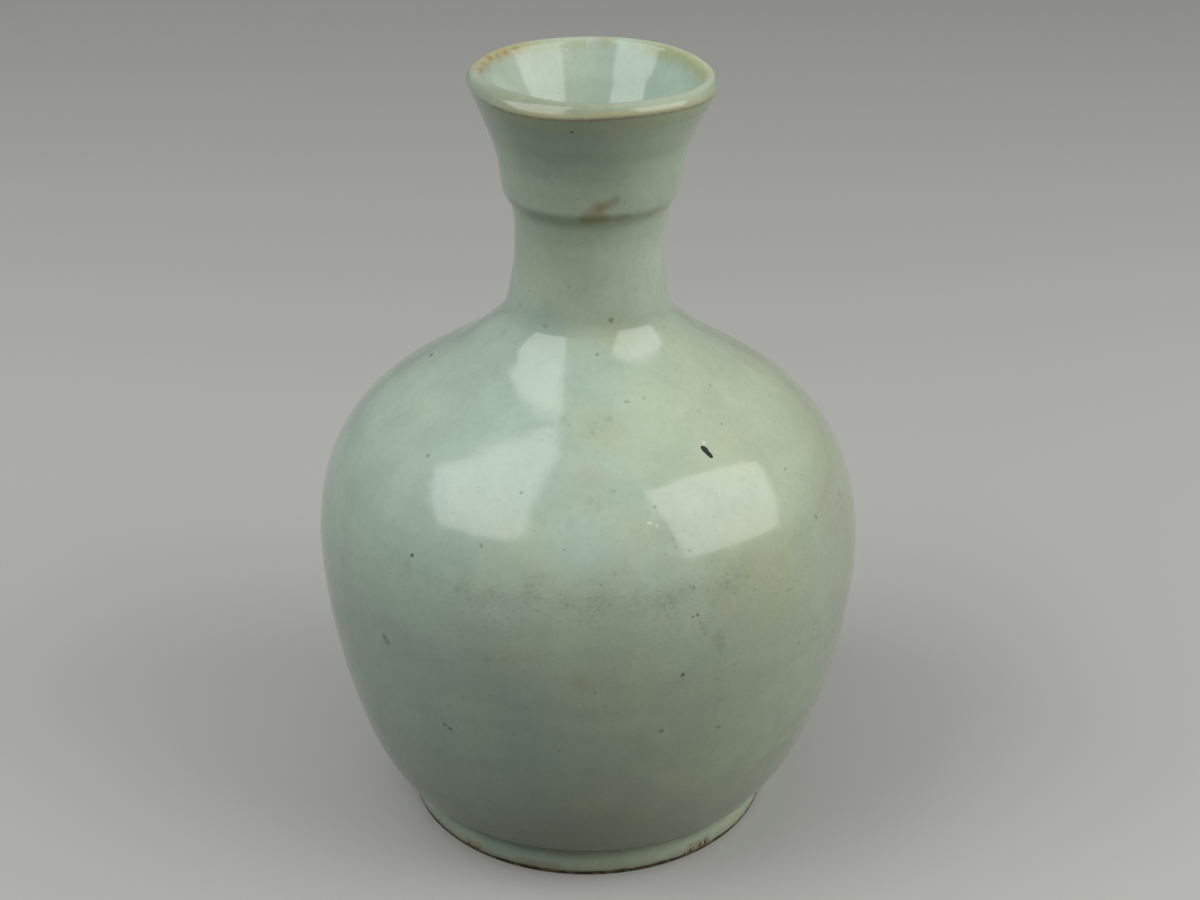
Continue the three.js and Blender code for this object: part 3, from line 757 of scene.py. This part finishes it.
def glazeFinish(name, tint=None, extraRoughness=0.0):
    material, tree = addFinish(name)
    inMm = placeInMm(tree)
    x, y, z = separate(inMm)
    azimuth = calc("ARCTAN2", x, y * -1.0) * (180 / math.pi)
    isInside = attribute(tree, "inside")
    clouds = noise(inMm, 0.022, 3.0, 0.55)
    patches = noise(inMm, 0.09, 4.0, 0.6)
    mottle = noise(inMm, 0.55, 4.0, 0.65)
    wobbled = vector("MULTIPLY_ADD", wobbleAt(inMm, 0.9), (1.1, 1.1, 1.1), inMm)

    # the fire left the glaze bluer on one side and yellower on the other, in soft clouds
    side = ramp(x, -55.0, 65.0) + (clouds - 0.5) * 1.9
    color = mixColor(ramp(side, 0.1, 0.55), glaze["blue"], glaze["green"])
    color = mixColor(ramp(side, 0.6, 1.3, 0.0, 0.9), color, glaze["yellow"])
    within = mixColor(ramp(x, -8.0, 26.0), glaze["inside"], glaze["insideBlue"])
    color = mixColor(isInside * 0.8, color, within)
    uneven = ramp(patches, 0.25, 0.6, 0.35, 1.0)
    # soft stain patches, with painted shade on the belly's right-hand edge
    for kind in stainsAndShade.values():
        color = mixColor(addCovers(inMm, kind, 0.55, 0.95) * uneven, color, kind["color"])
    shade = ramp(patches, 0.3, 0.7, 0.94, 1.04) + ramp(mottle, 0.3, 0.7, -0.03, 0.03)

    # dirt rubbed into the glaze round the join of the two bowls, mostly at the front
    level = z + (patches - 0.5) * 22.0
    away = calc("ABSOLUTE", azimuth - glaze["dirtAzimuth"])
    smoky = band(level, *glaze["dirtBand"]) * ramp(away, 18.0, 46.0, 1.0, 0.3)
    smoky = smoky * ramp(noise(inMm, 0.16, 2.0), 0.38, 0.62, 0.25, 1.0)
    brushed = vector("MULTIPLY", wobbled, (1.0, 1.0, 1.7))
    grime = ramp(noise(brushed, 0.85, 6.0, 0.78), 0.44, 0.66)
    cracks = ramp(cells(wobbled, 0.3, "DISTANCE_TO_EDGE"), 0.01, 0.07, 1.0, 0.0)
    rubbed = smoky * (grime * 0.5 + cracks * 0.1)
    freckled = band(level, *glaze["freckledBand"]) * ramp(grime, 0.3, 1.0, 0.0, 0.13)
    color = mixColor(calc("ADD", rubbed, freckled, clamp=True), color, glaze["dirt"])

    # olive pin-dots, small and rare ones
    spots = cells(wobbled, 0.085)
    color = mixColor(ramp(cells(wobbled, 0.36), 0.04, 0.14, 0.36, 0.0), color, glaze["dirt"])
    color = mixColor(ramp(spots, 0.02, 0.05, 0.4, 0.0), color, glaze["dirt"])

    # olive line where the glaze pooled under the step of the neck
    pool = z + (patches - 0.5) * 1.6
    pool = band(pool, *glaze["poolBand"]) * ramp(isInside, 0.4, 0.6, 0.34, 0.0)
    color = mixColor(pool, color, glaze["pooled"])
    color = addSmears(wobbled, color)

    # stained where the glaze ran thin: on the mouth's inner edge behind, on its outer corner in front
    arc = attribute(tree, "lipArc")
    streaky = noise(wobbled, 0.3, 4.0, 0.6)
    thin = noise(wobbled, 0.75, 3.0, 0.6)
    frayed = arc + (streaky - 0.5) * 4.0
    uneven = ramp(streaky, 0.3, 0.65, 0.7, 1.0) * ramp(thin, 0.35, 0.65, 0.75, 1.0)
    backLeft = calc("MAXIMUM", band(azimuth, *rim["backLeft"]), band(azimuth, *rim["back"]) * 0.5)
    color = mixColor(band(frayed, *rim["yellowReach"]) * backLeft * uneven, color, rim["yellow"])
    backRight = calc("MAXIMUM", band(azimuth, *rim["backRight"]), ramp(azimuth, -110.0, -150.0, 0.0, 0.5))
    color = mixColor(band(frayed, *rim["oliveReach"]) * backRight * uneven, color, rim["olive"])
    # painted shade: the lip's face is darkened, most of all in front and to its left
    lipShaded = band(azimuth, *rim["shadeLeft"]) * 0.5 + band(azimuth, *rim["shadeAround"]) * 0.38
    lipShaded = lipShaded * ramp(streaky, 0.3, 0.65, 0.8, 1.0)
    color = mixColor(band(arc, *rim["lipShadeReach"]) * lipShaded, color, rim["lipShade"])
    # painted light: a pale edge over the lip's outer corner, partly also the thin glaze's paler tone
    paleLitEdge = band(azimuth, *rim["paleLitEdge"]) * ramp(streaky, 0.35, 0.6, 0.5, 0.9)
    color = mixColor(band(arc, *rim["paleLitReach"]) * paleLitEdge, color, rim["pale"])
    fronts = calc("ADD", band(azimuth, *rim["front"]), band(azimuth, *rim["sides"]), clamp=True)
    # under the outer corner in front an olive tint, partly the thin glaze's tone and partly painted shade
    # under the lip
    color = mixColor(band(arc, *rim["underShadeReach"]) * (fronts * 0.35), color, rim["olive"])
    line = band(arc, *rim["lineReach"]) * fronts * ramp(thin, 0.3, 0.6, 0.4, 0.8)
    color = mixColor(line, color, rim["line"])
    for place, radius, strength in rim["spots"]:
        color = mixColor(addCover(wobbled, place, radius, 0.7, strength), color, rim["brown"])
    # painted highlight: a bright spot inside the mouth stands in for a glint
    color = mixColor(addCover(inMm, rim["bead"], 0.55, 0.3, 0.95), color, rim["glint"])
    # specks in the glaze, and the glints among them painted highlights
    for kind in specks.values():
        color = mixColor(addCovers(wobbled, kind, 1.0, kind["soft"]), color, kind["color"])
    color = vector("SCALE", color, Scale=shade)

    # the glaze runs thin and brown towards the foot's edge, with bare, burnt body below, painted near black
    # in part as painted shadow in the gap under the glaze's edge
    tinged = z + (streaky - 0.5) * 3.0
    color = mixColor(ramp(tinged, 1.6, 4.4, 0.55, 0.0), color, glaze["thin"])
    bare = ramp(attribute(tree, "bare"), 0.4, 0.6)
    sootyAndShadowed = mixColor(ramp(streaky, 0.42, 0.62), glaze["burntAndShadowed"], glaze["bare"])
    color = mixColor(bare, color, sootyAndShadowed)
    rough = ramp(patches, 0.3, 0.7, glaze["roughness"], glaze["roughness"] + 0.06) + extraRoughness
    rough = rough + calc("MAXIMUM", bare, rubbed * 0.4) * 0.6
    if tint:
        color = vector("MULTIPLY", color, tint)
    height = noise(inMm, 0.3, 2.0, 0.5) * glaze["peel"] + ramp(spots, 0.01, 0.05, -0.05, 0.0)
    addSurface(tree, {"Height": height, "Distance": mm, "Strength": 1.0},
               {"Base Color": color, "Roughness": rough, "IOR": 1.52})
    return material


def grainFinish(name, dark, pale, roughness, grain):
    material, tree = addFinish(name)
    cloud = noise(placeInMm(tree), grain, 4.0, 0.65)
    color = mixColor(ramp(cloud, 0.35, 0.65), dark, pale)
    rough = ramp(cloud, 0.3, 0.7, roughness - 0.1, roughness + 0.1)
    bump = {"Height": cloud, "Distance": 0.2 * mm, "Strength": 0.7}
    addSurface(tree, bump, {"Base Color": color, "Roughness": rough})
    return material


finishes = {
    "glaze": glazeFinish("celadonGlaze"),
    "foot_glaze": glazeFinish("footGlaze", (1.14, 1.15, 1.12), 0.04),
    "slip": glazeFinish("slipUnderGlaze", (0.985, 0.98, 0.965), 0.02),
    "grit": grainFinish("kilnSand", (0.06, 0.035, 0.015), (0.4, 0.27, 0.12), 0.75, 1.6),
    "iron": grainFinish("burntIron", (0.004, 0.005, 0.003), (0.022, 0.022, 0.014), 0.7, 2.2),
}
print("finishes ready")


# rows all the way round a section, which is given by the two ends of each stretch of the outline
def sectionRows(ends):
    rows = []
    for first, last in zip(ends[::2], ends[1::2]):
        rows += chosenRows(cut[first], cut[last])
    return rows if ends[0] == "axis" else rows + [cut[ends[0]]]


# the thrown sections and the slip between them
tree = wheelTree()
for name, ends, slot, node in (
        ("footRing", ("roof", "footTop"), "foot_glaze", "foot_ring"),
        ("lowerBowl", ("axis", "roof", "footTop", "belly1", "belly1In", "axisIn"), "glaze", "lower_bowl"),
        ("bellySeam", ("belly1", "belly2", "belly2In", "belly1In"), "slip", "belly_seam"),
        ("upperBowl", ("belly2", "shoulder1", "shoulder1In", "belly2In"), "glaze", "upper_bowl"),
        ("shoulderSeam", ("shoulder1", "shoulder2", "shoulder2In", "shoulder1In"), "slip", "shoulder_seam"),
        ("neckTube", ("shoulder2", "collar1", "collar1In", "shoulder2In"), "glaze", "neck"),
        ("collarSeam", ("collar1", "collar2", "collar2In", "collar1In"), "slip", "collar_seam"),
        ("mouthCollar", ("collar2", "collar2In"), "glaze", "mouth_collar")):
    rows = sectionRows(ends)
    piece = thrown(name, rows, finishes[slot], tree)
    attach(piece, "root")
    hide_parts(node)
    print("thrown", name, len(rows), "rows", len(piece.data.polygons), "faces")


# brown kiln sand fused to the edge of the foot, and the black fleck on the shoulder
sand = {
    # azimuth from the front, height, length, width and turn of each large grain
    "large": [(-39.5, 1.7, 1.2, 0.9, 20), (-36, 1.5, 0.9, 0.8, -35), (-17, 1.4, 1.3, 0.8, 8),
              (-11.5, 1.3, 1.0, 0.7, 60), (33.6, 1.7, 1.4, 1.0, -15), (37.2, 2.0, 1.5, 0.9, 75),
              (39.4, 2.3, 1.6, 0.9, 90)],
    "sunk": 0.25, "flatness": 0.6, "small": 130, "smallest": 0.16, "widest": 0.42, "roughness": 0.16 * mm,
    "seed": 7,
}
# azimuth, height, length and width of the two lobes of the fleck
fleck = {
    "lobes": [(36.3, 118.0, 2.5, 1.4), (36.7, 117.15, 2.6, 1.3)],
    "turn": -73, "rise": 0.32, "roughness": 0.4 * mm,
}


# a frame lying on the outside: centre, level direction, uphill direction and outward direction
def seat(azimuth, height):
    rows = np.arange(cut["rim"], peak)
    i = rows[np.argmin(np.abs(whole[rows, 1] - height))]
    turn = math.radians(azimuth)
    flat = Vector((math.sin(turn), -math.cos(turn), 0))
    level = Vector((math.cos(turn), math.sin(turn), 0))
    out = flat * float(outward[i, 0]) + Vector((0, 0, float(outward[i, 1])))
    shift = float(drifted("shift", height))
    oval = foot["oval"] * math.cos(2 * turn) * float(smoothStep(foot["ovalTo"], foot["ovalFrom"], height))
    centre = flat * (float(whole[i, 0]) + oval) + Vector((shift, 0, float(whole[i, 1])))
    return centre, level, out.cross(level), out


def sandTree():
    tree, given = growingTree("kilnSandGrains", "Grains", {
        "Rounds": "Int", "Roughness": "Float", "Lump Size": "Float"})
    grain = flow(tree, "GeometryNodeMeshIcoSphere", {"Radius": 0.5, "Subdivisions": given["Rounds"]}, "Mesh")
    turn = flow(tree, "FunctionNodeEulerToRotation", {0: stored(tree, "turn", "FLOAT_VECTOR")})
    size = stored(tree, "size", "FLOAT_VECTOR")
    laid = flow(tree, "GeometryNodeInstanceOnPoints", {
        "Points": given["Grains"], "Instance": grain, "Rotation": turn, "Scale": size})
    made = flow(tree, "GeometryNodeRealizeInstances", {"Geometry": laid})
    lumps = wobbleAt(flow(tree, "GeometryNodeInputPosition"), given["Lump Size"])
    push = vector("SCALE", lumps, Scale=given["Roughness"])
    made = flow(tree, "GeometryNodeSetPosition", {"Geometry": made, "Offset": push})
    made = flow(tree, "GeometryNodeSetShadeSmooth", {"Geometry": made, "Shade Smooth": True})
    made = flow(tree, "GeometryNodeSetMaterial", {"Geometry": made, "Material": given["Finish"]})
    addNode(tree, "NodeGroupOutput", {"Piece": made})
    return tree


def grainPoints(name, grains):
    mesh = bpy.data.meshes.new(name + "Points")
    mesh.vertices.add(len(grains))
    places, turns, sizes = [], [], []
    for azimuth, height, length, width, turn, rise, sink in grains:
        centre, level, uphill, out = seat(azimuth, height)
        spin = Matrix((level, uphill, out)).transposed() @ Matrix.Rotation(math.radians(turn), 3, "Z")
        places.extend((centre + out * (rise / 2 - sink)) * mm)
        turns.extend(spin.to_euler())
        sizes.extend((length * mm, width * mm, rise * mm))
    mesh.vertices.foreach_set("co", places)
    mesh.attributes.new("turn", "FLOAT_VECTOR", "POINT").data.foreach_set("vector", turns)
    mesh.attributes.new("size", "FLOAT_VECTOR", "POINT").data.foreach_set("vector", sizes)
    return mesh


def sandGrains():
    grains = [(*grain, grain[3] * sand["flatness"], sand["sunk"]) for grain in sand["large"]]
    dice = np.random.default_rng(sand["seed"])
    for i in range(sand["small"]):
        # most of the small grains lie near the large ones
        near = sand["large"][dice.integers(len(sand["large"]))][0]
        azimuth = near + dice.normal(0, 3.5) if i % 3 else dice.uniform(-180, 180)
        size = dice.uniform(sand["smallest"], sand["widest"])
        height = 0.9 + abs(dice.normal(0, 0.35 if azimuth < 30 or azimuth > 43 else 0.9))
        length, turn = size * dice.uniform(1, 1.6), dice.uniform(0, 180)
        grains.append((azimuth, height, length, size, turn, size * 0.7, size * 0.25))
    return grains


grainTree = sandTree()
iron = [(*lobe, fleck["turn"], fleck["rise"] * 2, fleck["rise"]) for lobe in fleck["lobes"]]
for name, grains, slot, nodes, values in (
        ("kilnSand", sandGrains(), "grit", ["kiln_grit_%d" % i for i in range(1, 8)],
         {"Rounds": 2, "Lump Size": 900.0, "Roughness": sand["roughness"]}),
        ("ironFleck", iron, "iron", ["iron_fleck"],
         {"Rounds": 4, "Lump Size": 700.0, "Roughness": fleck["roughness"]})):
    piece = grown(name, grainPoints(name, grains), grainTree, {"Finish": finishes[slot], **values})
    tidyNormals(piece, 60)
    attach(piece, "root")
    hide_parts(*nodes)
    print("laid", name, len(piece.data.polygons), "faces")

# floor, lamps, sky and camera
stage = {"size": 6.0, "pale": (0.5, 0.5, 0.48), "dark": (0.06, 0.058, 0.045)}


def lightPathFactor(tree):
    path = addNode(tree, "ShaderNodeLightPath").outputs
    camera, glossy, clear = (Flow(path["Is %s Ray" % kind]) for kind in ("Camera", "Glossy", "Transmission"))
    return calc("MAXIMUM", calc("MAXIMUM", camera, glossy), clear)


def makeFloor():
    half = stage["size"] / 2
    mesh = bpy.data.meshes.new("floor")
    corners = [(x * half, y * half, 0) for x, y in ((-1, -1), (1, -1), (1, 1), (-1, 1))]
    mesh.from_pydata(corners, [], [(0, 1, 2, 3)])
    material, tree = addFinish("palePaper")
    color = mixColor(lightPathFactor(tree), stage["dark"], stage["pale"])
    shader = flow(tree, "ShaderNodeBsdfDiffuse", {"Color": color})
    addNode(tree, "ShaderNodeOutputMaterial", {"Surface": shader})
    mesh.materials.append(material)
    floor = placed("floor", mesh)
    floor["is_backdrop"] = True


lamps = {
    "reach": 0.7, "around": (0, -0.05, 0.11),
    "left": {"centre": (-0.884, -0.213, 0.969), "along": (0.951, -0.301, -0.0625),
             "aim": (0.077, 0.4535, -0.8888), "size": (1.17, 0.98), "power": 5.3},
    "right": {"centre": (1.043, -0.144, 0.671), "along": (0.475, -0.571, -0.67),
              "aim": (-0.48, 0.47, -0.74), "size": (0.889, 1.24), "power": 4.7},
}


def makeLamp(name, values):
    light = bpy.data.lights.new(name, "AREA")
    light.shape = "RECTANGLE"
    light.size = values["size"][0] * lamps["reach"]
    light.size_y = values["size"][1] * lamps["reach"]
    light.energy = values["power"]
    back = -Vector(values["aim"]).normalized()
    along = Vector(values["along"])
    along = (along - along.dot(back) * back).normalized()
    turn = Matrix((along, back.cross(along), back)).transposed().to_4x4()
    lamp = placed(name, light)
    spot = Vector(lamps["around"]) + Vector(values["centre"]) * lamps["reach"]
    lamp.matrix_world = Matrix.Translation(spot) @ turn


sky = {
    # even glow, what comes on top of it overhead, and the glow of whole sides, each with its direction
    "even": 0.045, "overhead": 0.455, "sides": [((0.862, -0.507, 0), 0.31), ((0, -1, 0), 0.035)],
    # the backdrop darkens down to the tone of the far floor
    "wall": (1.0, 1.0, 0.96, 1), "wallLow": 0.28, "wallHigh": 0.47, "wallRise": 0.35,
}


def makeWorld():
    world = bpy.data.worlds.new("studio")
    bpy.context.scene.world = world
    world.use_nodes = True
    tree = world.node_tree
    tree.nodes.clear()
    way = flow(tree, "ShaderNodeTexCoord", output="Generated")
    up = calc("MAXIMUM", separate(way)[2], 0.0)
    high = up * up
    glow = high * sky["overhead"] + sky["even"]
    for direction, strength in sky["sides"]:
        facing = calc("MAXIMUM", vector("DOT_PRODUCT", way, direction, output="Value"), 0.0)
        glow = glow + calc("POWER", facing, 2.0) * (1.0 - high) * strength
    light = flow(tree, "ShaderNodeBackground", {"Color": (1, 1, 1, 1), "Strength": glow})
    wall = ramp(up, 0.0, sky["wallRise"], sky["wallLow"], sky["wallHigh"])
    backdrop = flow(tree, "ShaderNodeBackground", {"Color": sky["wall"], "Strength": wall})
    mixed = flow(tree, "ShaderNodeMixShader", {0: lightPathFactor(tree), 1: light, 2: backdrop})
    addNode(tree, "ShaderNodeOutputWorld", {"Surface": mixed})


view = {"sensor": 36.0, "lens": 66.6, "place": (0.0035, -0.5158, 0.3544), "down": 26.39}


def makeCamera():
    camera = bpy.data.cameras.new("camera")
    camera.sensor_fit = "HORIZONTAL"
    camera.sensor_width = view["sensor"]
    camera.lens = view["lens"]
    obj = placed("camera", camera)
    obj.location = view["place"]
    obj.rotation_euler = (math.radians(90 - view["down"]), 0, 0)
    bpy.context.scene.camera = obj


makeFloor()
makeLamp("leftLamp", lamps["left"])
makeLamp("rightLamp", lamps["right"])
makeWorld()
makeCamera()
bpy.context.scene.view_settings.view_transform = "Standard"
print("stage ready")

low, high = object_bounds()
